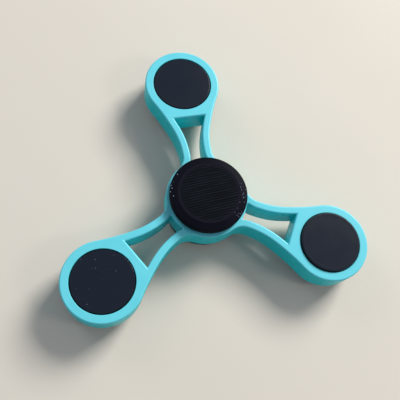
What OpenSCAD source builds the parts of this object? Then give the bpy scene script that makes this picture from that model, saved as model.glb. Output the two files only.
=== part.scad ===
// Three-armed fidget spinner with a ball bearing in the hub and a capped
// ball bearing as a weight in each lobe.
// Millimetres. The origin is the middle of the hub bearing, +Z is the spin
// axis and the first arm points along +Y.

/* [Body] */
// Distance from the spin axis to the middle of a lobe
arm_reach = 46.5; // [38:0.5:60]
// Thickness of the body
body_h = 9.4; // [7.8:0.1:14]
// Wall round the hub bearing
hub_wall = 3.7; // [2:0.1:6]
// Wall round a lobe's bearing
lobe_wall = 3; // [2:0.1:6]

/* [Arms] */
// Width over both struts of an arm at its narrowest
neck_w = 10.8; // [9:0.1:14]
// Distance from the hub's outer wall to the narrowest place
neck_offset = 3.3; // [1:0.1:6]
// Width of one strut
strut_w = 2.7; // [2:0.05:3.6]
// Radius of the curve where a strut runs into the hub
hub_fillet = 6; // [2:0.5:9]
// Wall left between the hub's bore and an arm's window
hub_web = 3.5; // [2:0.1:6]
// Web left between an arm's window and the lobe's bore
window_web = 3.2; // [2:0.1:6]
// Radius in the corners of an arm's window at the hub
window_fillet = 0.4; // [0.2:0.1:0.8]
// Tightness of the neck's curve: 1 is one single curve from neck to lobe
neck_share = 0.8; // [0.6:0.05:0.95]
// Share of the flank's turn that the neck's curve takes
turn_share = 0.77; // [0.5:0.01:0.95]

/* [Bearings] */
// Outer diameter of a bearing
bearing_od = 22; // [19:0.5:28]
// Bore of a bearing
bearing_bore = 8; // [6:0.5:9]
// Width of a bearing
bearing_w = 7; // [6:0.1:9]
// Diameter of a ball
ball_d = 3.969; // [3:0.001:4.8]
// Diameter of the circle through the ball centres
ball_circle_d = 15; // [14:0.1:16]
// Outer diameter of the inner race beside its groove
inner_land_d = 12.1; // [11:0.1:12.4]
// Inner diameter of the outer race beside its groove
outer_land_d = 18.2; // [17.6:0.1:18.6]
// Radial play between a ball and a race's groove
ball_play = 0.03; // [0.01:0.01:0.1]
// Groove radius for each unit of ball radius
groove_fit = 1.04; // [1.02:0.01:1.08]
// Chamfer on the edges of the races
race_chamfer = 0.3; // [0.1:0.05:0.5]

/* [Cage and shields] */
// Sheet thickness of the cage
cage_t = 0.3; // [0.2:0.05:0.4]
// Gap between a ball and its pocket
pocket_gap = 0.1; // [0.05:0.01:0.2]
// Gap between the cage and each race
cage_gap = 0.3; // [0.2:0.05:0.5]
// Sheet thickness of a shield
shield_t = 0.3; // [0.2:0.05:0.4]
// Depth of a shield below the bearing's face
shield_sink = 0.25; // [0.1:0.05:0.4]
// Rim of the outer race that holds a shield
shield_rim = 1.4; // [1:0.1:1.6]
// Gap between a shield and the inner race
shield_gap = 0.25; // [0.2:0.05:0.4]

/* [Finger caps] */
// Diameter of a cap
cap_d = 27.4; // [20:0.2:36]
// Gap between the body's face and a cap
cap_gap = 1; // [0.4:0.1:2]
// Height of a cap's straight rim
cap_rim_h = 3.1; // [1.5:0.1:5]
// Height of the sloping shoulder above the rim
cap_shoulder_h = 0.9; // [0.3:0.1:2]
// Diameter of the flat pad that a finger holds
cap_pad_d = 22; // [16:0.2:24]
// Chamfer under a cap's rim
cap_chamfer = 0.4; // [0.2:0.1:1]
// Diameter of the boss that bears on the inner race
boss_d = 11.4; // [9.5:0.1:11.8]
// Gap between the ends of the two stems inside a bearing
stem_gap = 0.4; // [0.2:0.1:1]

/* [Lobe covers] */
// Radial gap round a cover in its bore
cover_gap = 0.1; // [0.05:0.05:0.3]
// Chamfer on a cover's edge
cover_chamfer = 0.3; // [0.1:0.05:0.4]
// How far the top cover of each lobe stands proud of the body
cover_proud = [0, 0.8, 0]; // [0:0.1:0.8]

/* [Hidden] */

$fn = 96;
arm_count = 3;
arm_turn = 360 / arm_count;
// balls in a bearing, one node each in the hub
ball_count = 7;
// cuts run this far past the faces they open
through = 1;
// largest gap between an arc of the outline and the straight steps it is drawn in
arc_gap = 0.006;
// points closer than this are one point
weld = 0.001;

turquoise = "#62d6dc";
black = "#23272c";
steel = "#b9bdc2";
bright_steel = "#d5d9de";

bore_r = bearing_od / 2;
hub_r = bore_r + hub_wall;
lobe_r = bore_r + lobe_wall;
hub_web_r = bore_r + hub_web;
half_h = body_h / 2;
half_w = bearing_w / 2;

// The outer side of an arm is three tangent arcs: the hub fillet, the neck's
// arc and the flank's arc, which meets the lobe's circle.
lobe_c = [0, arm_reach];
neck_y = hub_r + neck_offset;
neck_x = neck_w / 2;
single_r = (pow(neck_x, 2) + pow(arm_reach - neck_y, 2) - pow(lobe_r, 2))
    / (2 * (lobe_r - neck_x));
neck_r = neck_share * single_r;
neck_c = [neck_x + neck_r, neck_y];
reach = norm(neck_c - lobe_c);
turn_full = atan2(arm_reach - neck_y, neck_c[0]) - acos((neck_r + lobe_r) / reach);
turn = turn_share * turn_full;
turn_dir = [cos(turn), -sin(turn)];
flank_extra = (pow(reach, 2) - pow(neck_r + lobe_r, 2))
    / (2 * (neck_r + lobe_r - (neck_c - lobe_c) * turn_dir));
flank_r = neck_r + flank_extra;
flank_c = neck_c + flank_extra * turn_dir;
flank_end = heading(flank_c, lobe_c);
fillet_c = meet([0, 0], hub_r + hub_fillet, neck_c, neck_r - hub_fillet);
corner_c = meet([0, 0], hub_web_r + window_fillet, fillet_c, hub_fillet + strut_w + window_fillet);
window_y = arm_reach - bore_r - window_web;

inner_land_r = inner_land_d / 2;
outer_land_r = outer_land_d / 2;
ball_r = ball_d / 2;
ball_circle_r = ball_circle_d / 2;
groove_r = ball_r * groove_fit;
// a groove's section circle sits so that the ball has ball_play at its bottom
groove_shift = groove_r - ball_r - ball_play;
pocket_r = ball_r + pocket_gap;
cage_in_r = inner_land_r + cage_gap;
cage_out_r = outer_land_r - cage_gap;
shield_z = half_w - shield_sink - shield_t;
shield_in_r = inner_land_r + shield_gap;
shield_out_r = bore_r - shield_rim;

cap_z = half_h + cap_gap;
cap_r = cap_d / 2;
stem_r = bearing_bore / 2;
stem_z = stem_gap / 2;

// point at radius r and angle a
function polar(r, a) = [r * cos(a), r * sin(a)];
// angle of the line from p to q, from 0 to 360
function heading(p, q) = (atan2(q[1] - p[1], q[0] - p[0]) + 360) % 360;
// how many steps keep a turn of an arc of radius r within arc_gap
function arc_steps(r, turn) = max(2, ceil(abs(turn) / (2 * acos(1 - arc_gap / r))));
// arc of radius r round c, from angle a to angle b
function arc(c, r, a, b) =
    let (steps = arc_steps(r, b - a))
    [for (i = [0 : steps]) c + polar(r, a + (b - a) * i / steps)];
// the point left of the line p to q, at rp from p and rq from q
function meet(p, rp, q, rq) =
    let (d = norm(q - p),
         along = (d * d + rp * rp - rq * rq) / (2 * d),
         across = sqrt(rp * rp - along * along),
         u = (q - p) / d)
    p + along * u + across * [-u[1], u[0]];
// the same points on the other side of the arm, in the opposite order
function other_side(points) =
    [for (i = [len(points) - 1 : -1 : 0]) [-points[i][0], points[i][1]]];
// a closed outline without the repeats where two arcs meet
function closed(points) =
    [for (i = [0 : len(points) - 1])
        if (norm(points[i] - points[(i + 1) % len(points)]) > weld) points[i]];
// points turned by a about the origin
function turned(points, a) =
    [for (p = points) [p[0] * cos(a) - p[1] * sin(a), p[0] * sin(a) + p[1] * cos(a)]];

// right side of an arm, from the hub to the lobe
function arm_side() = concat(
    arc(fillet_c, hub_fillet, 180 + heading([0, 0], fillet_c), heading(neck_c, fillet_c)),
    arc(neck_c, neck_r, heading(neck_c, fillet_c), 180 - turn),
    arc(flank_c, flank_r, 180 - turn, flank_end)
);

// one arm's outline, from its hub fillet round the lobe and back, and the
// hub's wall up to the next arm
function arm_outline() =
    let (lobe_from = flank_end - 180,
         hub_from = 180 - heading([0, 0], fillet_c),
         hub_to = heading([0, 0], fillet_c) + arm_turn)
    concat(
        arm_side(),
        arc(lobe_c, lobe_r, lobe_from, 90),
        arc(lobe_c, lobe_r, 90, 180 - lobe_from),
        other_side(arm_side()),
        arc([0, 0], hub_r, hub_from, hub_to)
    );

// right side of an arm's window, from the hub to the lobe: the arm's own
// three arcs, one strut further in, after the corner at the hub
function window_side() = concat(
    arc(corner_c, window_fillet, heading([0, 0], corner_c) - 180, heading(fillet_c, corner_c) - 180),
    arc(fillet_c, hub_fillet + strut_w, heading(fillet_c, corner_c), heading(neck_c, fillet_c)),
    arc(neck_c, neck_r + strut_w, heading(neck_c, fillet_c), 180 - turn),
    arc(flank_c, flank_r + strut_w, 180 - turn, flank_end)
);

// the window before its outer end is cut straight
function window_loop() =
    let (hub_to = heading([0, 0], corner_c))
    concat(
        window_side(),
        other_side(window_side()),
        arc([0, 0], hub_web_r, 180 - hub_to, hub_to)
    );

module in_lobe(k) {
    rotate([0, 0, -arm_turn * (k - 1)])
        translate([0, arm_reach, 0])
            children();
}

// a ring with chamfered edges
module ring(inner_r, outer_r, height, chamfer) {
    h = height / 2;
    rotate_extrude()
        polygon([
            [inner_r, chamfer - h], [inner_r + chamfer, -h],
            [outer_r - chamfer, -h], [outer_r, chamfer - h],
            [outer_r, h - chamfer], [outer_r - chamfer, h],
            [inner_r + chamfer, h], [inner_r, h - chamfer]
        ]);
}

// the groove that the balls run in, its section's middle at radius r
module groove(r) {
    rotate_extrude()
        translate([r, 0])
            circle(r = groove_r);
}

module window_outline() {
    intersection() {
        polygon(closed(window_loop()));
        translate([-arm_reach, 0])
            square([2 * arm_reach, window_y]);
    }
}

module body() {
    color(turquoise)
        difference() {
            translate([0, 0, -half_h])
                linear_extrude(body_h)
                    difference() {
                        polygon(closed([for (k = [0 : arm_count - 1])
                            each turned(arm_outline(), arm_turn * k)]));
                        for (k = [0 : arm_count - 1])
                            rotate(arm_turn * k)
                                window_outline();
                    }
            cylinder(h = body_h + 2 * through, r = bore_r, center = true);
            for (k = [1 : arm_count])
                in_lobe(k)
                    cylinder(h = body_h + 2 * through, r = bore_r, center = true);
        }
}

module inner_race() {
    color(bright_steel)
        difference() {
            ring(stem_r, inner_land_r, bearing_w, race_chamfer);
            groove(ball_circle_r + groove_shift);
        }
}

module outer_race() {
    color(bright_steel)
        difference() {
            ring(outer_land_r, bore_r, bearing_w, race_chamfer);
            groove(ball_circle_r - groove_shift);
            for (side = [0, 1])
                mirror([0, 0, side])
                    translate([0, 0, shield_z])
                        cylinder(h = half_w, r = shield_out_r);
        }
}

// the first ball is on the arm's own line, so the set is symmetric
module ball(i) {
    color(bright_steel)
        rotate([0, 0, 360 / ball_count * (i - 1)])
            translate([0, ball_circle_r, 0])
                sphere(r = ball_r);
}

module balls() {
    for (i = [1 : ball_count])
        ball(i);
}

module pockets(r) {
    for (i = [0 : ball_count - 1])
        rotate([0, 0, 360 / ball_count * i])
            translate([0, ball_circle_r, 0])
                sphere(r = r);
}

// one pressed half of the cage: a flat ribbon with a dome over each ball
module cage_half() {
    color(steel)
        intersection() {
            difference() {
                union() {
                    cylinder(h = cage_t, r = cage_out_r);
                    pockets(pocket_r + cage_t);
                }
                pockets(pocket_r);
            }
            difference() {
                cylinder(h = half_w, r = cage_out_r);
                translate([0, 0, -through])
                    cylinder(h = half_w + 2 * through, r = cage_in_r);
            }
        }
}

module shield() {
    color(steel)
        translate([0, 0, shield_z])
            difference() {
                cylinder(h = shield_t, r = shield_out_r);
                translate([0, 0, -through])
                    cylinder(h = shield_t + 2 * through, r = shield_in_r);
            }
}

// a finger cap: pad, shoulder and rim, a boss on the inner race and a stem
// pressed into its bore
module cap() {
    rim_z = cap_z + cap_rim_h;
    color(black)
        rotate_extrude()
            polygon([
                [0, stem_z], [stem_r, stem_z],
                [stem_r, half_w], [boss_d / 2, half_w],
                [boss_d / 2, cap_z], [cap_r - cap_chamfer, cap_z],
                [cap_r, cap_z + cap_chamfer], [cap_r, rim_z],
                [cap_pad_d / 2, rim_z + cap_shoulder_h], [0, rim_z + cap_shoulder_h]
            ]);
}

// a lobe's cover: a disc over the bearing and a stem pressed into its bore
module cover() {
    disc_r = bore_r - cover_gap;
    color(black)
        rotate_extrude()
            polygon([
                [0, stem_z], [stem_r, stem_z],
                [stem_r, half_w], [disc_r, half_w],
                [disc_r, half_h - cover_chamfer], [disc_r - cover_chamfer, half_h],
                [0, half_h]
            ]);
}

module top_cover(k) {
    in_lobe(k)
        translate([0, 0, cover_proud[k - 1]])
            cover();
}

// children turned over to the body's underside
module under() {
    mirror([0, 0, 1])
        children();
}

body();
cap();  // top_cap
under() cap();  // bottom_cap
inner_race();  // hub_inner_race
outer_race();  // hub_outer_race
ball(1);  // hub_ball_1
ball(2);  // hub_ball_2
ball(3);  // hub_ball_3
ball(4);  // hub_ball_4
ball(5);  // hub_ball_5
ball(6);  // hub_ball_6
ball(7);  // hub_ball_7
cage_half();  // hub_cage_upper
under() cage_half();  // hub_cage_lower
shield();  // hub_shield_upper
under() shield();  // hub_shield_lower
in_lobe(1) outer_race();  // lobe_1_outer_race
in_lobe(1) inner_race();  // lobe_1_inner_race
in_lobe(1) balls();  // lobe_1_balls
in_lobe(1) cage_half();  // lobe_1_cage_upper
in_lobe(1) under() cage_half();  // lobe_1_cage_lower
in_lobe(1) shield();  // lobe_1_shield_upper
in_lobe(1) under() shield();  // lobe_1_shield_lower
top_cover(1);  // lobe_1_cover_top
in_lobe(1) under() cover();  // lobe_1_cover_bottom
in_lobe(2) outer_race();  // lobe_2_outer_race
in_lobe(2) inner_race();  // lobe_2_inner_race
in_lobe(2) balls();  // lobe_2_balls
in_lobe(2) cage_half();  // lobe_2_cage_upper
in_lobe(2) under() cage_half();  // lobe_2_cage_lower
in_lobe(2) shield();  // lobe_2_shield_upper
in_lobe(2) under() shield();  // lobe_2_shield_lower
top_cover(2);  // lobe_2_cover_top
in_lobe(2) under() cover();  // lobe_2_cover_bottom
in_lobe(3) outer_race();  // lobe_3_outer_race
in_lobe(3) inner_race();  // lobe_3_inner_race
in_lobe(3) balls();  // lobe_3_balls
in_lobe(3) cage_half();  // lobe_3_cage_upper
in_lobe(3) under() cage_half();  // lobe_3_cage_lower
in_lobe(3) shield();  // lobe_3_shield_upper
in_lobe(3) under() shield();  // lobe_3_shield_lower
top_cover(3);  // lobe_3_cover_top
in_lobe(3) under() cover();  // lobe_3_cover_bottom
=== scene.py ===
"""Looks of a three-armed fidget spinner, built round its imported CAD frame.

The body, the finger caps and the lobe covers are modelled here with the rounded edges, the
printed steps and the pad lines of the real pieces. The ball bearings keep their CAD shapes and
get their finishes. Sizes in the classes are millimetres, and MM turns them into metres.
"""
import logging
import math
from collections.abc import Callable, Iterator
from contextlib import contextmanager
from dataclasses import dataclass, field, replace
from enum import Enum

import bmesh
import bpy
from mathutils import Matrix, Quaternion, Vector


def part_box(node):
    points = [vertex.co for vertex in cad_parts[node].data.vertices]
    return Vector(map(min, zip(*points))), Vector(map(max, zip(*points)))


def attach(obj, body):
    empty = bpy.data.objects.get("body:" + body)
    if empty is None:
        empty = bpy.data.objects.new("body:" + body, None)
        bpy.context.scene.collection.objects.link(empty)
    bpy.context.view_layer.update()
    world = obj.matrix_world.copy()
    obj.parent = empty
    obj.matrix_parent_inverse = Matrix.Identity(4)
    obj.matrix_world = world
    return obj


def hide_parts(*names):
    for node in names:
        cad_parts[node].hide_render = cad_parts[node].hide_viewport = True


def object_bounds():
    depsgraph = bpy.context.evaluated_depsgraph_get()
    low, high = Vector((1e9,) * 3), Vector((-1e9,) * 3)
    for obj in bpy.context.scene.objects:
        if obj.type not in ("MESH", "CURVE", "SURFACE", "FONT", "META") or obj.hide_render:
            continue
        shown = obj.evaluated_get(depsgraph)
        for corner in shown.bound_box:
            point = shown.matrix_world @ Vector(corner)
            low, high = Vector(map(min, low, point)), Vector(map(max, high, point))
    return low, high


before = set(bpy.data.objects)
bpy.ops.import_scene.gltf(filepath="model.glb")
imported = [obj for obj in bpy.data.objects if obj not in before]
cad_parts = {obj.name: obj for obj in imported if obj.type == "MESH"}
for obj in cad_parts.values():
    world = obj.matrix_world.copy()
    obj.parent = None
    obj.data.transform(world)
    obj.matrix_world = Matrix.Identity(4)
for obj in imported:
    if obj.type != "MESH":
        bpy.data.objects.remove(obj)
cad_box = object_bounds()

MM = 0.001
ORIGIN = (0.0, 0.0, 0.0)
LOBES = (1, 2, 3)
# sides of every round that is drawn out from a circle
ROUND_SIDES = 144
# sockets of the Mix node in its colour mode, where names repeat
MIX_FACTOR, MIX_A, MIX_B, MIX_RESULT = 0, 6, 7, 2
# millimetres within which two places count as the same
NEAR = 0.01
# rise of a face's normal at which the masks of level faces and of walls start and end
LEVEL_RISE = (0.97, 0.995)
WALL_RISE = (0.7, 0.2)
# degrees from the x axis to the printed lines on a finger cap's pad
PAD_LINE_ANGLE = 4.6

log = logging.getLogger("fidget_spinner")


class Ride(str, Enum):
    """Bodies of the frame that a modelled piece can ride on."""

    HELD = "held"
    SPINNER = "spinner"


class Slot(str, Enum):
    """Material slots of the record."""

    TURQUOISE = "turquoise_pla"
    BLACK = "black_pla"
    COVER = "cover_pla"


class Side(Enum):
    """The two faces of the spinner, as the sign of z."""

    UPPER = 1
    LOWER = -1


class Element(Enum):
    """What select() picks in edit mode."""

    VERTEX = "VERT"
    EDGE = "EDGE"
    FACE = "FACE"


# ---------------------------------------------------------------- modelling


def deselect_all() -> None:
    """Deselect every object, the loaded CAD nodes among them."""
    bpy.ops.object.select_all(action="DESELECT")


@contextmanager
def editing(piece: bpy.types.Object) -> Iterator[None]:
    """Work on one piece in edit mode, with nothing selected at the start.

    Args:
        piece: mesh object to edit.
    """
    deselect_all()
    bpy.context.view_layer.objects.active = piece
    piece.select_set(True)
    bpy.ops.object.mode_set(mode="EDIT")
    bpy.ops.mesh.select_all(action="DESELECT")
    yield
    bpy.ops.object.mode_set(mode="OBJECT")


def select(piece: bpy.types.Object, element: Element, wanted: Callable[[object], bool]) -> int:
    """Select the vertices, edges or faces that pass a test, and nothing else.

    Args:
        piece: mesh object in edit mode.
        element: kind of element to test.
        wanted: test that an element has to pass.

    Returns:
        How many elements are selected.
    """
    bpy.ops.mesh.select_mode(type=element.value)
    bpy.ops.mesh.select_all(action="DESELECT")
    mesh = bmesh.from_edit_mesh(piece.data)
    parts = {Element.VERTEX: mesh.verts, Element.EDGE: mesh.edges, Element.FACE: mesh.faces}
    chosen = [part for part in parts[element] if wanted(part)]
    for part in chosen:
        part.select_set(True)
    bmesh.update_edit_mesh(piece.data)
    return len(chosen)


def add_disc(name: str, radius: float, height: float) -> bpy.types.Object:
    """Add a filled circle on the z axis, the start of every turned piece.

    Args:
        name: name of the new object and its mesh.
        radius: radius of the circle in metres.
        height: height of the circle in metres.

    Returns:
        The new object.
    """
    deselect_all()
    bpy.ops.mesh.primitive_circle_add(vertices=ROUND_SIDES, radius=radius, fill_type="NGON")
    disc = bpy.context.active_object
    disc.name = disc.data.name = name
    disc.location.z = height
    settle(disc)
    return disc


def draw_out(profile: list[tuple[float, float]]) -> None:
    """Extrude the selected loop along a profile of (radius, height) points, in metres.

    Args:
        profile: the loop's own radius and height first, then each place it is drawn to.
    """
    for (radius, height), (next_radius, next_height) in zip(profile, profile[1:]):
        lift = (0.0, 0.0, next_height - height)
        growth = next_radius / radius
        bpy.ops.mesh.extrude_region_move(TRANSFORM_OT_translate={"value": lift})
        bpy.ops.transform.resize(value=(growth, growth, 1.0), center_override=ORIGIN)


def rounded_corner(
    radius: float, height: float, size: float, start: float, end: float, steps: int = 4
) -> list[tuple[float, float]]:
    """Profile points of a rounded corner.

    Args:
        radius: radius of the corner's arc centre from the axis.
        height: height of the arc's centre.
        size: radius of the arc.
        start: direction of the first point in degrees, 0 outwards and 90 upwards.
        end: direction of the last point in degrees.
        steps: straight steps that make up the arc.

    Returns:
        Points as (radius, height), from start to end.
    """
    turns = [math.radians(start + (end - start) * step / steps) for step in range(steps + 1)]
    return [(radius + size * math.cos(turn), height + size * math.sin(turn)) for turn in turns]


def settle(piece: bpy.types.Object) -> None:
    """Put a piece's place and turn into its mesh, so that its object sits at the origin."""
    deselect_all()
    bpy.context.view_layer.objects.active = piece
    piece.select_set(True)
    bpy.ops.object.transform_apply(location=True, rotation=True, scale=True)


def close_shell(piece: bpy.types.Object, near: float = 0.002 * MM) -> None:
    """Merge doubled points and turn every face outwards.

    Args:
        piece: mesh object to close.
        near: points closer than this, in metres, become one.
    """
    with editing(piece):
        bpy.ops.mesh.select_all(action="SELECT")
        bpy.ops.mesh.remove_doubles(threshold=near)
        bpy.ops.mesh.normals_make_consistent(inside=False)


def smooth(piece: bpy.types.Object, crease: float = 32.0) -> None:
    """Shade smooth up to a crease angle, with normals that keep large faces flat.

    Args:
        piece: mesh object to shade.
        crease: edges sharper than this, in degrees, stay sharp.
    """
    deselect_all()
    bpy.context.view_layer.objects.active = piece
    piece.select_set(True)
    bpy.ops.object.shade_smooth_by_angle(angle=math.radians(crease))
    weighting = piece.modifiers.new("flat_faces", "WEIGHTED_NORMAL")
    weighting.keep_sharp = True
    bpy.ops.object.modifier_apply(modifier=weighting.name)


def copied(piece: bpy.types.Object, name: str) -> bpy.types.Object:
    """Copy a piece with its own mesh.

    Args:
        piece: object to copy.
        name: name of the copy and of its mesh.

    Returns:
        The copy.
    """
    deselect_all()
    bpy.context.view_layer.objects.active = piece
    piece.select_set(True)
    bpy.ops.object.duplicate(linked=False)
    copy = bpy.context.active_object
    copy.name = copy.data.name = name
    return copy


def middle(node: str) -> Vector:
    """Middle of a CAD node's box, in metres."""
    low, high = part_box(node)
    return (low + high) / 2


# ---------------------------------------------------------------- finishes


def srgb(colour: str) -> tuple[float, float, float, float]:
    """Turn an sRGB hex colour into linear red, green, blue and alpha.

    Args:
        colour: six hex digits after a hash sign.

    Returns:
        Linear colour with an alpha of 1.
    """
    values = [int(colour[start : start + 2], 16) / 255 for start in (1, 3, 5)]
    linear = [v / 12.92 if v <= 0.04045 else ((v + 0.055) / 1.055) ** 2.4 for v in values]
    return (*linear, 1.0)


def add_node(
    tree: bpy.types.NodeTree,
    kind: str,
    inputs: dict[str | int, object] | None = None,
    **settings: object,
) -> bpy.types.Node:
    """Add a shader node with its settings, its input values and its links.

    Args:
        tree: node tree that gets the node.
        kind: type name of the node.
        inputs: a value, or an output socket to link, for each input by name or number.
        **settings: properties of the node.

    Returns:
        The new node.
    """
    node = tree.nodes.new(kind)
    for name, value in settings.items():
        setattr(node, name, value)
    for socket, value in (inputs or {}).items():
        if isinstance(value, bpy.types.NodeSocket):
            tree.links.new(value, node.inputs[socket])
        else:
            node.inputs[socket].default_value = value
    return node


def blank_material(
    name: str,
) -> tuple[bpy.types.Material, bpy.types.NodeTree, bpy.types.Node]:
    """Make a material that holds only a shader and an output.

    Args:
        name: name of the material.

    Returns:
        The material, its node tree and its shader node.
    """
    material = bpy.data.materials.new(name)
    material.use_nodes = True
    tree = material.node_tree
    tree.nodes.clear()
    shader = add_node(tree, "ShaderNodeBsdfPrincipled")
    add_node(tree, "ShaderNodeOutputMaterial", {"Surface": shader.outputs["BSDF"]})
    return material, tree, shader


def wave_scale(pitch: float) -> float:
    """Scale of a Wave texture whose lines are a pitch in millimetres apart."""
    return math.pi / 10 / (pitch * MM)


def noise_scale(grain: float) -> float:
    """Scale of a Noise texture whose patches are about a grain in millimetres across."""
    return 1 / (grain * MM)


@dataclass(frozen=True)
class Specks:
    """Pale specks on a band of a turned piece, used for painted glints on small blobs of filament
    and for lint.

    They sit on a ring round a centre, on the side that direction gives in degrees, one to a
    patch at most. Share is the part of the patches that has one.
    """

    direction: float
    spread: float
    inner: float
    outer: float
    centre: tuple[float, float] = (0.0, 0.0)
    # pale colour of a painted glint
    colour: str = "#a9bac8"
    patch: float = 0.7
    radius: float = 0.15
    share: float = 0.4


@dataclass(frozen=True)
class PrintedPlastic:
    """PLA filament, melted and laid down in lines layer by layer.

    Walls show the layers as fine level lines and level faces show the lines of the last
    layer. The melt sets with a soft satin shine. Pitches, depths and grains are millimetres.
    """

    name: str
    colour: str
    hollow_colour: str
    # painted shade on the walls, which get a darker, deeper colour than the level faces
    painted_wall_shade: str
    roughness: float
    # a 0.2 mm layer is too fine to show, so walls are drawn with a coarser step
    layer_pitch: float = 0.8
    layer_depth: float = 0.03
    line_pitch: float = 0.9
    line_depth: float = 0.006
    line_angle: float = 45.0
    # painted highlight on the ridges and painted shade in the grooves of the pad's lines, out to a
    # reach; painted sheen on its border lines, out to theirs
    ridge_highlight_colour: str | None = None
    groove_shade_colour: str | None = None
    groove_reach: float = 0.0
    border_sheen_colour: str | None = None
    border_reach: float = 0.0
    # streaks that make the painted highlight on some lines of the last layer stronger than on
    # their neighbours
    streak: float = 0.6
    streak_stretch: float = 14.0
    # part of the noise's range that the streaks use, and the strength of the faintest line
    streak_span: tuple[float, float] = (0.35, 0.6)
    streak_faintest: float = 0.35
    grain: float = 0.35
    grain_depth: float = 0.008
    mottle: float = 6.0
    mottle_share: float = 0.25
    roughness_spread: float = 0.08
    ior: float = 1.46
    specular: float = 0.5
    # the layers' steps break up the shine of a wall
    wall_specular: float = 0.12
    specks: tuple[Specks, ...] = ()

    def material(self) -> bpy.types.Material:
        """Build the finish.

        Returns:
            The new material.
        """
        material, tree, shader = blank_material(self.name)
        place = add_node(tree, "ShaderNodeTexCoord")
        level, upright = self._facing(tree, place)
        lines = self._lines(tree, place)
        height = self._height(tree, place, lines, level, upright)
        bump = add_node(
            tree, "ShaderNodeBump", {"Height": height, "Distance": MM, "Strength": 1.0}
        )
        mottle = add_node(
            tree,
            "ShaderNodeTexNoise",
            {"Vector": place.outputs["Object"], "Scale": noise_scale(self.mottle), "Detail": 4.0},
        )
        share = add_node(
            tree,
            "ShaderNodeMapRange",
            {
                "Value": mottle.outputs["Fac"],
                "From Min": 0.35,
                "From Max": 0.7,
                "To Min": 0.0,
                "To Max": self.mottle_share,
            },
        )
        colour = add_node(
            tree,
            "ShaderNodeMix",
            {
                MIX_FACTOR: share.outputs["Result"],
                MIX_A: srgb(self.colour),
                MIX_B: srgb(self.hollow_colour),
            },
            data_type="RGBA",
        ).outputs[MIX_RESULT]
        # painted shade: the walls take the wall colour in place of the plastic's own
        colour = add_node(
            tree,
            "ShaderNodeMix",
            {MIX_FACTOR: upright, MIX_A: colour, MIX_B: srgb(self.painted_wall_shade)},
            data_type="RGBA",
        ).outputs[MIX_RESULT]
        # painted highlight, shade and sheen of the pad's lines and border
        if self.groove_shade_colour:
            colour = self._painted_pad_light(tree, place, colour, lines, level)
        for specks in self.specks:
            colour = self._specked(tree, place, colour, specks)
        roughness = add_node(
            tree,
            "ShaderNodeMapRange",
            {
                "Value": mottle.outputs["Fac"],
                "From Min": 0.3,
                "From Max": 0.7,
                "To Min": self.roughness - self.roughness_spread,
                "To Max": self.roughness + self.roughness_spread,
            },
        )
        tree.links.new(colour, shader.inputs["Base Color"])
        tree.links.new(roughness.outputs["Result"], shader.inputs["Roughness"])
        if self.wall_specular == self.specular:
            shader.inputs["Specular IOR Level"].default_value = self.specular
        else:
            shine = add_node(
                tree,
                "ShaderNodeMapRange",
                {"Value": upright, "To Min": self.specular, "To Max": self.wall_specular},
            )
            tree.links.new(shine.outputs["Result"], shader.inputs["Specular IOR Level"])
        tree.links.new(bump.outputs["Normal"], shader.inputs["Normal"])
        shader.inputs["IOR"].default_value = self.ior
        return material

    @staticmethod
    def _facing(
        tree: bpy.types.NodeTree, place: bpy.types.Node
    ) -> tuple[bpy.types.NodeSocket, bpy.types.NodeSocket]:
        """Masks of the level faces and of the walls.

        Args:
            tree: node tree of the material.
            place: its Texture Coordinate node.

        Returns:
            Output sockets that are 1 on level faces and 1 on walls.
        """
        parts = add_node(tree, "ShaderNodeSeparateXYZ", {"Vector": place.outputs["Normal"]})
        rise = add_node(tree, "ShaderNodeMath", {0: parts.outputs["Z"]}, operation="ABSOLUTE")
        level = add_node(
            tree,
            "ShaderNodeMapRange",
            {
                "Value": rise.outputs["Value"],
                "From Min": LEVEL_RISE[0],
                "From Max": LEVEL_RISE[1],
            },
        )
        upright = add_node(
            tree,
            "ShaderNodeMapRange",
            {
                "Value": rise.outputs["Value"],
                "From Min": WALL_RISE[0],
                "From Max": WALL_RISE[1],
            },
        )
        return level.outputs["Result"], upright.outputs["Result"]

    def _lines(self, tree: bpy.types.NodeTree, place: bpy.types.Node) -> bpy.types.NodeSocket:
        """Lines of the last printed layer.

        Args:
            tree: node tree of the material.
            place: its Texture Coordinate node.

        Returns:
            Output socket that goes from 0 to 1 and back on the way from line to line.
        """
        return add_node(
            tree,
            "ShaderNodeTexWave",
            {
                "Vector": self._along_lines(tree, place),
                "Scale": wave_scale(self.line_pitch),
            },
            bands_direction="Y",
        ).outputs["Fac"]

    def _along_lines(
        self, tree: bpy.types.NodeTree, place: bpy.types.Node, stretch: float = 1.0
    ) -> bpy.types.NodeSocket:
        """Coordinates whose x axis runs along the lines of the last layer.

        Args:
            tree: node tree of the material.
            place: its Texture Coordinate node.
            stretch: how many times longer a pattern gets along the lines.

        Returns:
            Output socket with the coordinates.
        """
        turned = add_node(
            tree,
            "ShaderNodeMapping",
            {
                "Vector": place.outputs["Object"],
                "Rotation": (0.0, 0.0, -math.radians(self.line_angle)),
            },
        )
        return add_node(
            tree,
            "ShaderNodeMapping",
            {"Vector": turned.outputs["Vector"], "Scale": (1 / stretch, 1.0, 1.0)},
        ).outputs["Vector"]

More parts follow.
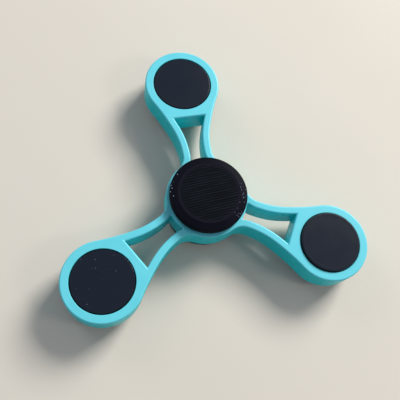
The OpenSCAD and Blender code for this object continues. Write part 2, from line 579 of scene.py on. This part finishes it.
    def _height(
        self,
        tree: bpy.types.NodeTree,
        place: bpy.types.Node,
        lines: bpy.types.NodeSocket,
        level: bpy.types.NodeSocket,
        upright: bpy.types.NodeSocket,
    ) -> bpy.types.NodeSocket:
        """Height of the printed surface in millimetres.

        Args:
            tree: node tree of the material.
            place: its Texture Coordinate node.
            lines: output socket with the lines of the last layer.
            level: output socket with the mask of the level faces.
            upright: output socket with the mask of the walls.

        Returns:
            Output socket with the height.
        """
        layers = add_node(
            tree,
            "ShaderNodeTexWave",
            {
                "Vector": place.outputs["Object"],
                "Scale": wave_scale(self.layer_pitch),
                "Distortion": 0.4,
                "Detail Scale": 0.3,
            },
            bands_direction="Z",
        )
        grain = add_node(
            tree,
            "ShaderNodeTexNoise",
            {"Vector": place.outputs["Object"], "Scale": noise_scale(self.grain), "Detail": 3.0},
        )
        height = add_node(
            tree,
            "ShaderNodeMath",
            {0: grain.outputs["Fac"], 1: self.grain_depth},
            operation="MULTIPLY",
        ).outputs["Value"]
        shares = (
            (layers.outputs["Fac"], upright, self.layer_depth),
            (lines, level, self.line_depth),
        )
        for pattern, mask, depth in shares:
            masked = add_node(
                tree, "ShaderNodeMath", {0: pattern, 1: mask}, operation="MULTIPLY"
            )
            height = add_node(
                tree,
                "ShaderNodeMath",
                {0: masked.outputs["Value"], 1: depth, 2: height},
                operation="MULTIPLY_ADD",
            ).outputs["Value"]
        return height

    def _painted_pad_light(
        self,
        tree: bpy.types.NodeTree,
        place: bpy.types.Node,
        colour: bpy.types.NodeSocket,
        lines: bpy.types.NodeSocket,
        level: bpy.types.NodeSocket,
    ) -> bpy.types.NodeSocket:
        """Paint a sheen on the border of a round pad, and a highlight on the ridges and shade in
        the grooves of the lines inside it.

        Args:
            tree: node tree of the material.
            place: its Texture Coordinate node.
            colour: output socket with the plain colour.
            lines: output socket with the lines.
            level: output socket with the mask of the level faces.

        Returns:
            Output socket with the colour and its painted highlight, shade and sheen.
        """
        flat = add_node(
            tree,
            "ShaderNodeVectorMath",
            {0: place.outputs["Object"], 1: (1.0, 1.0, 0.0)},
            operation="MULTIPLY",
        )
        radius = add_node(
            tree, "ShaderNodeVectorMath", {0: flat.outputs["Vector"]}, operation="LENGTH"
        )
        streaks = add_node(
            tree,
            "ShaderNodeTexNoise",
            {
                "Vector": self._along_lines(tree, place, self.streak_stretch),
                "Scale": noise_scale(self.streak),
            },
        )
        strength = add_node(
            tree,
            "ShaderNodeMapRange",
            {
                "Value": streaks.outputs["Fac"],
                "From Min": self.streak_span[0],
                "From Max": self.streak_span[1],
                "To Min": self.streak_faintest,
                "To Max": 1.0,
            },
        )
        ridges = add_node(
            tree,
            "ShaderNodeMath",
            {0: lines, 1: strength.outputs["Result"]},
            operation="MULTIPLY",
        )
        pad = add_node(
            tree,
            "ShaderNodeMix",
            {
                MIX_FACTOR: ridges.outputs["Value"],
                MIX_A: srgb(self.groove_shade_colour),
                MIX_B: srgb(self.ridge_highlight_colour),
            },
            data_type="RGBA",
        )
        rounds = (
            (self.border_reach, srgb(self.border_sheen_colour)),
            (self.groove_reach, pad.outputs[MIX_RESULT]),
        )
        for reach, tone in rounds:
            near = add_node(
                tree,
                "ShaderNodeMath",
                {0: radius.outputs["Value"], 1: reach * MM},
                operation="LESS_THAN",
            )
            within = add_node(
                tree, "ShaderNodeMath", {0: level, 1: near.outputs["Value"]}, operation="MULTIPLY"
            )
            colour = add_node(
                tree,
                "ShaderNodeMix",
                {MIX_FACTOR: within.outputs["Value"], MIX_A: colour, MIX_B: tone},
                data_type="RGBA",
            ).outputs[MIX_RESULT]
        return colour

    def _specked(
        self,
        tree: bpy.types.NodeTree,
        place: bpy.types.Node,
        colour: bpy.types.NodeSocket,
        specks: Specks,
    ) -> bpy.types.NodeSocket:
        """Lay pale specks over a colour.

        Args:
            tree: node tree of the material.
            place: its Texture Coordinate node.
            colour: output socket with the plain colour.
            specks: where the specks are and how they look.

        Returns:
            Output socket with the specked colour.
        """
        turn = math.radians(specks.direction)
        centre = (-specks.centre[0] * MM, -specks.centre[1] * MM, 0.0)
        flat = add_node(
            tree,
            "ShaderNodeMapping",
            {"Vector": place.outputs["Object"], "Location": centre, "Scale": (1.0, 1.0, 0.0)},
        ).outputs["Vector"]
        radius = add_node(tree, "ShaderNodeVectorMath", {0: flat}, operation="LENGTH")
        outwards = add_node(tree, "ShaderNodeVectorMath", {0: flat}, operation="NORMALIZE")
        facing = add_node(
            tree,
            "ShaderNodeVectorMath",
            {0: outwards.outputs["Vector"], 1: (math.cos(turn), math.sin(turn), 0.0)},
            operation="DOT_PRODUCT",
        )
        patches = add_node(
            tree,
            "ShaderNodeTexVoronoi",
            {"Vector": place.outputs["Object"], "Scale": noise_scale(specks.patch)},
        )
        lot = add_node(tree, "ShaderNodeSeparateColor", {"Color": patches.outputs["Color"]})
        tests = (
            (facing.outputs["Value"], "GREATER_THAN", math.cos(math.radians(specks.spread))),
            (radius.outputs["Value"], "GREATER_THAN", specks.inner * MM),
            (radius.outputs["Value"], "LESS_THAN", specks.outer * MM),
            (lot.outputs["Red"], "LESS_THAN", specks.share),
            (patches.outputs["Distance"], "LESS_THAN", specks.radius / specks.patch),
        )
        strength: bpy.types.NodeSocket | float = 1.0
        for value, comparison, limit in tests:
            passed = add_node(tree, "ShaderNodeMath", {0: value, 1: limit}, operation=comparison)
            strength = add_node(
                tree, "ShaderNodeMath", {0: strength, 1: passed.outputs[0]}, operation="MULTIPLY"
            ).outputs["Value"]
        return add_node(
            tree,
            "ShaderNodeMix",
            {MIX_FACTOR: strength, MIX_A: colour, MIX_B: srgb(specks.colour)},
            data_type="RGBA",
        ).outputs[MIX_RESULT]


@dataclass(frozen=True)
class BearingSteel:
    """Hardened chrome steel, ground in a lathe and lapped.

    It mirrors its surroundings, a little blurred along rings that the grinding wheel left.
    """

    name: str
    colour: str = "#c3c6ca"
    roughness: float = 0.16
    # grinding rings are microns apart, so they are drawn as coarse as they need to show
    ring_pitch: float = 0.3
    ring_depth: float = 0.0008
    stain: float = 2.5

    def material(self, centre: Vector) -> bpy.types.Material:
        """Build the finish for a bearing.

        Args:
            centre: middle of the bearing, which the grinding rings run round.

        Returns:
            The new material.
        """
        material, tree, shader = blank_material(self.name)
        place = add_node(tree, "ShaderNodeTexCoord")
        centred = add_node(
            tree,
            "ShaderNodeMapping",
            {"Vector": place.outputs["Object"], "Location": tuple(-centre)},
        )
        rings = add_node(
            tree,
            "ShaderNodeTexWave",
            {
                "Vector": centred.outputs["Vector"],
                "Scale": wave_scale(self.ring_pitch),
                "Distortion": 0.6,
            },
            wave_type="RINGS",
            rings_direction="Z",
        )
        stain = add_node(
            tree,
            "ShaderNodeTexNoise",
            {"Vector": centred.outputs["Vector"], "Scale": noise_scale(self.stain)},
        )
        roughness = add_node(
            tree,
            "ShaderNodeMapRange",
            {
                "Value": stain.outputs["Fac"],
                "To Min": self.roughness * 0.6,
                "To Max": self.roughness * 1.4,
            },
        )
        bump = add_node(
            tree,
            "ShaderNodeBump",
            {"Height": rings.outputs["Fac"], "Distance": self.ring_depth * MM},
        )
        shader.inputs["Base Color"].default_value = srgb(self.colour)
        shader.inputs["Metallic"].default_value = 1.0
        tree.links.new(roughness.outputs["Result"], shader.inputs["Roughness"])
        tree.links.new(bump.outputs["Normal"], shader.inputs["Normal"])
        return material


@dataclass(frozen=True)
class RolledSheet:
    """Cold-rolled steel sheet, pressed to shape.

    The rolls leave a fine grain in one direction, which spreads its reflections.
    """

    name: str
    colour: str = "#aeb0b1"
    roughness: float = 0.34
    grain: float = 0.12
    grain_stretch: float = 14.0
    grain_depth: float = 0.002

    def material(self, centre: Vector) -> bpy.types.Material:
        """Build the finish for a pressed piece.

        Args:
            centre: middle of the piece's bearing.

        Returns:
            The new material.
        """
        material, tree, shader = blank_material(self.name)
        place = add_node(tree, "ShaderNodeTexCoord")
        stretched = add_node(
            tree,
            "ShaderNodeMapping",
            {
                "Vector": place.outputs["Object"],
                "Location": tuple(-centre),
                "Scale": (1.0, 1 / self.grain_stretch, 1.0),
            },
        )
        grain = add_node(
            tree,
            "ShaderNodeTexNoise",
            {
                "Vector": stretched.outputs["Vector"],
                "Scale": noise_scale(self.grain),
                "Detail": 4.0,
            },
        )
        tone = add_node(
            tree,
            "ShaderNodeMapRange",
            {
                "Value": grain.outputs["Fac"],
                "To Min": self.roughness - 0.08,
                "To Max": self.roughness + 0.08,
            },
        )
        bump = add_node(
            tree,
            "ShaderNodeBump",
            {"Height": grain.outputs["Fac"], "Distance": self.grain_depth * MM},
        )
        shader.inputs["Base Color"].default_value = srgb(self.colour)
        shader.inputs["Metallic"].default_value = 1.0
        tree.links.new(tone.outputs["Result"], shader.inputs["Roughness"])
        tree.links.new(bump.outputs["Normal"], shader.inputs["Normal"])
        return material


@dataclass(frozen=True)
class MattPaint:
    """Flat wall paint, rolled on: even and without shine, with a faint cloud of tone."""

    name: str
    colour: str
    cloud_colour: str
    cloud: float = 60.0
    roughness: float = 0.9

    def material(self) -> bpy.types.Material:
        """Build the finish.

        Returns:
            The new material.
        """
        material, tree, shader = blank_material(self.name)
        place = add_node(tree, "ShaderNodeTexCoord")
        cloud = add_node(
            tree,
            "ShaderNodeTexNoise",
            {"Vector": place.outputs["Object"], "Scale": noise_scale(self.cloud)},
        )
        colour = add_node(
            tree,
            "ShaderNodeMix",
            {
                MIX_FACTOR: cloud.outputs["Fac"],
                MIX_A: srgb(self.colour),
                MIX_B: srgb(self.cloud_colour),
            },
            data_type="RGBA",
        )
        tree.links.new(colour.outputs[MIX_RESULT], shader.inputs["Base Color"])
        shader.inputs["Roughness"].default_value = self.roughness
        return material


def dress(piece: bpy.types.Object, material: bpy.types.Material) -> None:
    """Give a piece one material on its whole surface.

    Args:
        piece: mesh object to dress.
        material: its finish.
    """
    if not piece.material_slots:
        piece.data.materials.append(material)
    for material_slot in piece.material_slots:
        material_slot.material = material


def hand_over(piece: bpy.types.Object, ride: Ride, node: str) -> None:
    """Put a finished piece on the body that it rides on, and hide the CAD node that it replaces.

    Args:
        piece: finished piece, in its place.
        ride: body that it moves with.
        node: CAD node that it replaces.
    """
    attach(piece, ride.value)
    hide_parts(node)
    log.info("%s: %d faces, rides on %s", piece.name, len(piece.data.polygons), ride.value)


# ---------------------------------------------------------------- sub-assemblies


@dataclass
class SpinnerBody:
    """Printed hub ring, arms and lobes in one piece.

    It keeps the outline of the CAD body. Its upper and lower edges are rounded, and the
    edges of its bores only a little, so that they hold the bearings.
    """

    edge_round: float = 0.6
    bore_round: float = 0.2
    edge_segments: int = 4
    # points this close are joined, and faces this near to level with each other are merged
    merge_distance: float = 0.002
    flat_angle: float = 0.2
    finish: PrintedPlastic = PrintedPlastic(
        name="turquoise_pla_printed",
        colour="#68cedb",
        hollow_colour="#56c4d3",
        # painted shade on the walls, a deeper teal than the level faces
        painted_wall_shade="#18cad0",
        roughness=0.3,
        roughness_spread=0.06,
        specular=0.36,
        mottle_share=0.6,
    )

    def build(self) -> None:
        """Model, dress and hand over the body."""
        body = self._shape()
        smooth(body)
        dress(body, self.finish.material())
        hand_over(body, Ride.SPINNER, "body")

    def _shape(self) -> bpy.types.Object:
        """Copy the CAD body, join its triangles up and round its long edges.

        Returns:
            The printed body.
        """
        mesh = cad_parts["body"].data.copy()
        mesh.name = "printed_body"
        body = bpy.data.objects.new("printed_body", mesh)
        bpy.context.scene.collection.objects.link(body)
        half_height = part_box("body")[1].z
        bearings = ["hub", *(f"lobe_{lobe}" for lobe in LOBES)]
        races = [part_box(f"{bearing}_outer_race") for bearing in bearings]
        bores = [((low + high) / 2, (high.x - low.x) / 2) for low, high in races]
        with editing(body):
            bpy.ops.mesh.select_all(action="SELECT")
            bpy.ops.mesh.remove_doubles(threshold=self.merge_distance * MM)
            bpy.ops.mesh.dissolve_limited(angle_limit=math.radians(self.flat_angle))
            for of_bore, rounding in ((True, self.bore_round), (False, self.edge_round)):
                select(
                    body,
                    Element.EDGE,
                    lambda edge: self._is_long_edge(edge, half_height)
                    and self._is_bore_edge(edge, bores) is of_bore,
                )
                bpy.ops.mesh.bevel(
                    offset=rounding * MM,
                    segments=self.edge_segments,
                    affect="EDGES",
                    clamp_overlap=False,
                )
        return body

    @staticmethod
    def _is_long_edge(edge: bmesh.types.BMEdge, half_height: float) -> bool:
        """Whether an edge lies between a level face and a wall of the body.

        Args:
            edge: edge to test.
            half_height: height of the level faces from the middle, in metres.

        Returns:
            True for the edges that get rounded.
        """
        level = [abs(face.normal.z) > 0.5 for face in edge.link_faces]
        at_face = all(abs(abs(end.co.z) - half_height) < NEAR * MM for end in edge.verts)
        return at_face and any(level) and not all(level)

    @staticmethod
    def _is_bore_edge(edge: bmesh.types.BMEdge, bores: list[tuple[Vector, float]]) -> bool:
        """Whether an edge runs round one of the bores.

        Args:
            edge: edge to test.
            bores: middle and radius of each bore, in metres.

        Returns:
            True for an edge whose ends both lie on one bore's circle.
        """
        return any(
            all(abs((end.co.xy - centre.xy).length - radius) < 0.05 * MM for end in edge.verts)
            for centre, radius in bores
        )


@dataclass
class FingerCap:
    """Printed cap that a finger holds, with the boss and stem that carry it.

    Its flat pad shows the lines of its last layer inside two border lines, and its shoulder
    goes down to the rim in printed steps.
    """

    pad_diameter: float = 21.9
    border_width: float = 0.45
    border_count: int = 2
    border_depth: float = 0.03
    line_pitch: float = 0.9
    line_depth: float = 0.05
    line_angle: float = PAD_LINE_ANGLE
    shoulder_steps: int = 4
    step_lean: float = 0.4
    rim_height: float = 3.1
    rim_round: float = 0.25
    under_chamfer: float = 0.4
    body_gap: float = 1.0
    boss_diameter: float = 11.4
    stem_diameter: float = 8.0
    finish: PrintedPlastic = PrintedPlastic(
        name="black_pla_printed",
        colour="#10111a",
        hollow_colour="#0c0d13",
        # painted shade on the walls, darker than the pad
        painted_wall_shade="#0b0c12",
        roughness=0.5,
        line_depth=0.0,
        line_angle=PAD_LINE_ANGLE,
        # painted highlight on the pad's ridges, painted shade in its grooves and painted sheen on
        # its border lines
        ridge_highlight_colour="#171e26",
        groove_shade_colour="#050608",
        groove_reach=10.05,
        border_sheen_colour="#15151f",
        border_reach=10.96,
        mottle_share=0.6,
        roughness_spread=0.03,
        specular=0.03,
        wall_specular=0.03,
        # painted glints on blobs of filament, on two sides of the shoulder
        specks=(
            Specks(158.0, 22.0, 12.2, 13.5),
            Specks(-24.0, 34.0, 11.0, 13.5, colour="#6c7696", patch=0.6, share=0.45),
        ),
    )

    def build(self) -> None:
        """Model the cap once, copy it for the underside, and hand both over."""
        material = self.finish.material()
        upper = self._shape()
        lower = copied(upper, "lower_finger_cap")
        # a half turn about the pad lines keeps their direction
        lower.rotation_euler = (math.pi, 0.0, 2 * math.radians(self.line_angle))
        settle(lower)
        for cap, node in ((upper, "top_cap"), (lower, "bottom_cap")):
            dress(cap, material)
            hand_over(cap, Ride.HELD, node)

    def _shape(self) -> bpy.types.Object:
        """Model the upper cap from its pad outwards and down to its stem's end.

        Returns:
            The upper cap.
        """
        low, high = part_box("top_cap")
        cap = add_disc("upper_finger_cap", self.pad_diameter / 2 * MM, high.z)
        with editing(cap):
            self._border_lines(cap)
            self._pad_lines(cap)
            select(cap, Element.EDGE, lambda edge: edge.is_boundary)
            draw_out(self._profile(low.z, high.z, high.x))
            bpy.ops.mesh.edge_face_add()
        close_shell(cap)
        smooth(cap)
        return cap

    def _border_lines(self, cap: bpy.types.Object) -> None:
        """Inset the pad's border lines, each with a groove at its inner side."""
        bpy.ops.mesh.select_all(action="SELECT")
        for _ in range(self.border_count):
            bpy.ops.mesh.inset(thickness=self.border_width / 2 * MM, depth=-self.border_depth * MM)
            bpy.ops.mesh.inset(thickness=self.border_width / 2 * MM, depth=self.border_depth * MM)

    def _pad_lines(self, cap: bpy.types.Object) -> None:
        """Cut the pad along its printed lines and lower every second cut to a groove."""
        field_radius = (self.pad_diameter / 2 - self.border_count * self.border_width) * MM
        spacing = self.line_pitch / 2 * MM
        turn = math.radians(self.line_angle)
        across = Vector((-math.sin(turn), math.cos(turn), 0.0))
        cuts = int(field_radius / spacing)
        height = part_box("top_cap")[1].z

        def in_field(place: Vector) -> bool:
            """Whether a place lies on the pad inside its border lines."""
            return place.xy.length < field_radius + NEAR * MM and place.z > height - 0.1 * MM

        for cut in range(-cuts, cuts + 1):
            select(cap, Element.FACE, lambda face: in_field(face.calc_center_median()))
            bpy.ops.mesh.bisect(
                plane_co=across * cut * spacing + Vector((0.0, 0.0, height)), plane_no=across
            )
        select(
            cap,
            Element.VERTEX,
            lambda point: in_field(point.co)
            and abs((point.co.dot(across) / spacing) % 2 - 1) < 0.01,
        )
        bpy.ops.transform.translate(value=(0.0, 0.0, -self.line_depth * MM))

    def _profile(self, end: float, top: float, rim_radius: float) -> list[tuple[float, float]]:
        """Profile of the cap outside its pad.

        Args:
            end: height of the stem's end, in metres.
            top: height of the pad, in metres.
            rim_radius: radius of the rim, in metres.

        Returns:
            Points as (radius, height) in metres, from the pad's edge to the stem's end.
        """
        pad_radius = self.pad_diameter / 2 * MM
        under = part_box("body")[1].z + self.body_gap * MM
        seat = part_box("hub_inner_race")[1].z
        rim_top = under + self.rim_height * MM
        drop = (top - rim_top) / self.shoulder_steps
        tread = (rim_radius - self.rim_round * MM - pad_radius) / self.shoulder_steps
        profile = [(pad_radius, top)]
        for step in range(1, self.shoulder_steps + 1):
            edge = pad_radius + tread * step
            profile.append((edge - self.step_lean * MM, top - drop * (step - 1)))
            profile.append((edge, top - drop * step))
        rounding = self.rim_round * MM
        profile += rounded_corner(
            rim_radius - self.rim_round * MM, rim_top - self.rim_round * MM, rounding, 90, 0
        )[1:]
        profile += [
            (rim_radius, under + self.under_chamfer * MM),
            (rim_radius - self.under_chamfer * MM, under),
            (self.boss_diameter / 2 * MM, under),
            (self.boss_diameter / 2 * MM, seat),
            (self.stem_diameter / 2 * MM, seat),
            (self.stem_diameter / 2 * MM, end),
        ]
        return profile


@dataclass
class LobeCovers:
    """Printed discs that close the lobes, with the stems that press into the bearings.

    They were printed face down, so their faces are smooth with a faint edge line. A steep
    bevel runs round each face, with a thin rounded lip that catches the light.
    """

    bevel_width: float = 0.38
    bevel_drop: float = 0.9
    lip_round: float = 0.08
    edge_line: float = 0.9
    edge_line_depth: float = 0.02
    stem_diameter: float = 8.0
    dusty_lobe: int = 3
    lint_reach: float = 10.2
    finish: PrintedPlastic = PrintedPlastic(
        name="black_pla_first_layer",
        # the covers' own black with a painted cool sheen, lighter and bluer than the caps, in both
        # tones
        colour="#151c28",
        hollow_colour="#111722",
        # painted shade on the bevel, much darker than the face
        painted_wall_shade="#040508",
        roughness=0.22,
        roughness_spread=0.02,
        specular=0.33,
        wall_specular=0.05,
        line_depth=0.004,
        line_angle=45.0,
    )

    def build(self) -> None:
        """Model one cover, copy it to each side of each lobe, and hand them over."""
        clean = self.finish.material()
        pattern = self._shape()
        for lobe in LOBES:
            material = self._dusty(lobe).material() if lobe == self.dusty_lobe else clean
            for side, place in ((Side.UPPER, "top"), (Side.LOWER, "bottom")):
                node = f"lobe_{lobe}_cover_{place}"
                cover = copied(pattern, f"lobe_{lobe}_{side.name.lower()}_cover")
                self._place(cover, node, side)
                dress(cover, material)
                hand_over(cover, Ride.SPINNER, node)
        bpy.data.objects.remove(pattern)

    def _dusty(self, lobe: int) -> PrintedPlastic:
        """Finish of a cover that lint has settled on.

        Args:
            lobe: number of the cover's lobe.

        Returns:
            The covers' finish with pale specks.
        """
        spot = middle(f"lobe_{lobe}_cover_top") / MM
        lint = Specks(
            direction=0.0,
            spread=180.0,
            inner=0.0,
            outer=self.lint_reach,
            centre=(spot.x, spot.y),
            colour="#4d5a68",
            patch=1.5,
            radius=0.16,
            share=0.5,
        )
        return replace(self.finish, name="black_pla_dusty", specks=(lint,))

    def _shape(self) -> bpy.types.Object:
        """Model an upper cover on the z axis, with the end of its stem at height 0.

        Returns:
            The cover that the others are copied from.
        """
        low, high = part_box("lobe_1_cover_top")
        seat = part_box("lobe_1_outer_race")[1].z - low.z
        top = high.z - low.z
        radius = (high.x - low.x) / 2
        face_radius = radius - self.bevel_width * MM
        lip = self.lip_round * MM
        cover = add_disc("lobe_cover", face_radius, top)
        with editing(cover):
            bpy.ops.mesh.select_all(action="SELECT")
            bpy.ops.mesh.inset(thickness=self.edge_line * MM)
            bpy.ops.mesh.inset(
                thickness=self.edge_line / 4 * MM, depth=-self.edge_line_depth * MM
            )
            bpy.ops.mesh.inset(
                thickness=self.edge_line / 4 * MM, depth=self.edge_line_depth * MM
            )
            select(cover, Element.EDGE, lambda edge: edge.is_boundary)
            draw_out(
                [
                    *rounded_corner(face_radius, top - lip, lip, 90, 30),
                    (radius, top - self.bevel_drop * MM),
                    (radius, seat),
                    (self.stem_diameter / 2 * MM, seat),
                    (self.stem_diameter / 2 * MM, 0.0),
                ]
            )
            bpy.ops.mesh.edge_face_add()
        close_shell(cover)
        smooth(cover)
        return cover

    @staticmethod
    def _place(cover: bpy.types.Object, node: str, side: Side) -> None:
        """Put a cover where its CAD node is, turned over on the lower side.

        Args:
            cover: copy of the cover on the z axis.
            node: CAD node that it stands for.
            side: face of the spinner that it closes.
        """
        low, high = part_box(node)
        stem_end = low.z if side is Side.UPPER else high.z
        cover.rotation_euler.x = 0.0 if side is Side.UPPER else math.pi
        cover.location = (*middle(node).xy, stem_end)
        settle(cover)


@dataclass
class BallBearing:
    """One ball bearing, whose CAD pieces keep their shapes and get their finishes."""

    name: str
    ball_nodes: tuple[str, ...]
    races: BearingSteel = BearingSteel(name="bearing_steel_ground")
    balls: BearingSteel = BearingSteel(
        name="bearing_steel_lapped", colour="#d2d5d8", roughness=0.06, ring_depth=0.0
    )
    cage: RolledSheet = RolledSheet(name="steel_sheet_cage", roughness=0.4)
    shields: RolledSheet = RolledSheet(name="steel_sheet_shield", roughness=0.3)

    def build(self) -> None:
        """Dress every CAD node of the bearing."""
        centre = middle(f"{self.name}_outer_race")
        groups = (
            (self.races, (f"{self.name}_inner_race", f"{self.name}_outer_race")),
            (self.balls, self.ball_nodes),
            (self.cage, (f"{self.name}_cage_upper", f"{self.name}_cage_lower")),
            (self.shields, (f"{self.name}_shield_upper", f"{self.name}_shield_lower")),
        )
        for finish, nodes in groups:
            material = finish.material(centre)
            for node in nodes:
                dress(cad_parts[node], material)
                log.info("%s: dressed in %s", node, material.name)


# ---------------------------------------------------------------- studio


@dataclass(frozen=True)
class SoftLight:
    """Square soft light, placed round the spinner and turned towards it.

    Azimuth 0 is on the -y side and grows anticlockwise from above. Distance and size are
    metres.
    """

    name: str
    azimuth: float
    elevation: float
    distance: float
    size: float
    watts: float
    colour: str = "#ffffff"

    def build(self) -> None:
        """Add the light to the scene."""
        back = direction(self.azimuth, self.elevation)
        light = bpy.data.lights.new(self.name, "AREA")
        light.shape = "SQUARE"
        light.size = self.size
        light.energy = self.watts
        light.color = srgb(self.colour)[:3]
        lamp = bpy.data.objects.new(self.name, light)
        lamp.location = back * self.distance
        lamp.rotation_euler = (-back).to_track_quat("-Z", "Y").to_euler()
        bpy.context.scene.collection.objects.link(lamp)


@dataclass(frozen=True)
class Viewpoint:
    """Camera that looks down at the spinner from the front left, tilted to one side.

    Aim and distance are millimetres and angles are degrees. The tilt turns the camera
    anticlockwise about its line of sight.
    """

    aim: tuple[float, float, float] = (-2.78, -0.58, 4.7)
    distance: float = 194.6
    azimuth: float = -32.73
    elevation: float = 68.75
    tilt: float = 22.5
    lens: float = 49.66

    def build(self) -> None:
        """Add the camera and make it the scene's."""
        back = direction(self.azimuth, self.elevation)
        lens = bpy.data.cameras.new("camera")
        lens.lens = self.lens
        lens.clip_start = 0.01
        camera = bpy.data.objects.new("camera", lens)
        camera.location = (Vector(self.aim) + back * self.distance) * MM
        level = (-back).to_track_quat("-Z", "Y")
        tilted = level @ Quaternion((0.0, 0.0, 1.0), math.radians(self.tilt))
        camera.rotation_euler = tilted.to_euler()
        bpy.context.scene.collection.objects.link(camera)
        bpy.context.scene.camera = camera


def direction(azimuth: float, elevation: float) -> Vector:
    """Unit vector from the spinner towards a viewer or a light.

    Args:
        azimuth: angle round the z axis from the -y side, in degrees.
        elevation: angle above the horizon, in degrees.

    Returns:
        The unit vector.
    """
    turn, rise = math.radians(azimuth), math.radians(elevation)
    return Vector(
        (math.sin(turn) * math.cos(rise), -math.cos(turn) * math.cos(rise), math.sin(rise))
    )


@dataclass
class Studio:
    """Plain pale floor, soft lights, an even surround and the camera."""

    floor_width: float = 3.0
    surround: str = "#d3dceb"
    surround_strength: float = 0.40
    viewpoint: Viewpoint = Viewpoint()
    paint: MattPaint = MattPaint(
        name="pale_floor_paint", colour="#cdc6ba", cloud_colour="#d4cdc1"
    )
    lights: tuple[SoftLight, ...] = field(
        default_factory=lambda: (
            SoftLight("key_light", 125.0, 38.0, 1.50, 0.60, 28.5, "#fffdfa"),
            SoftLight("fill_light", -143.0, 36.0, 0.80, 0.30, 0.8, "#eef4ff"),
            SoftLight("side_light", 60.0, 42.0, 0.80, 0.15, 0.7, "#fffdfa"),
        )
    )

    def build(self) -> None:
        """Add the floor, the lights, the surround and the camera."""
        self._floor()
        for light in self.lights:
            light.build()
        world = bpy.data.worlds.new("surround")
        world.use_nodes = True
        background = world.node_tree.nodes["Background"]
        background.inputs["Color"].default_value = srgb(self.surround)
        background.inputs["Strength"].default_value = self.surround_strength
        bpy.context.scene.world = world
        bpy.context.scene.view_settings.view_transform = "Standard"
        self.viewpoint.build()

    def _floor(self) -> None:
        """Lay the floor under the spinner."""
        deselect_all()
        bpy.ops.mesh.primitive_plane_add(size=self.floor_width, location=(0, 0, cad_box[0].z))
        floor = bpy.context.active_object
        floor.name = "floor"
        settle(floor)
        dress(floor, self.paint.material())


def main() -> None:
    """Build the spinner and its studio, and log each piece."""
    logging.basicConfig(level=logging.INFO, format="%(message)s")
    hub_balls = tuple(sorted(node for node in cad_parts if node.startswith("hub_ball_")))
    assemblies = [SpinnerBody(), FingerCap(), LobeCovers(), BallBearing("hub", hub_balls)]
    assemblies += [BallBearing(f"lobe_{lobe}", (f"lobe_{lobe}_balls",)) for lobe in LOBES]
    assemblies.append(Studio())
    for assembly in assemblies:
        assembly.build()


if __name__ == "__main__":
    main()
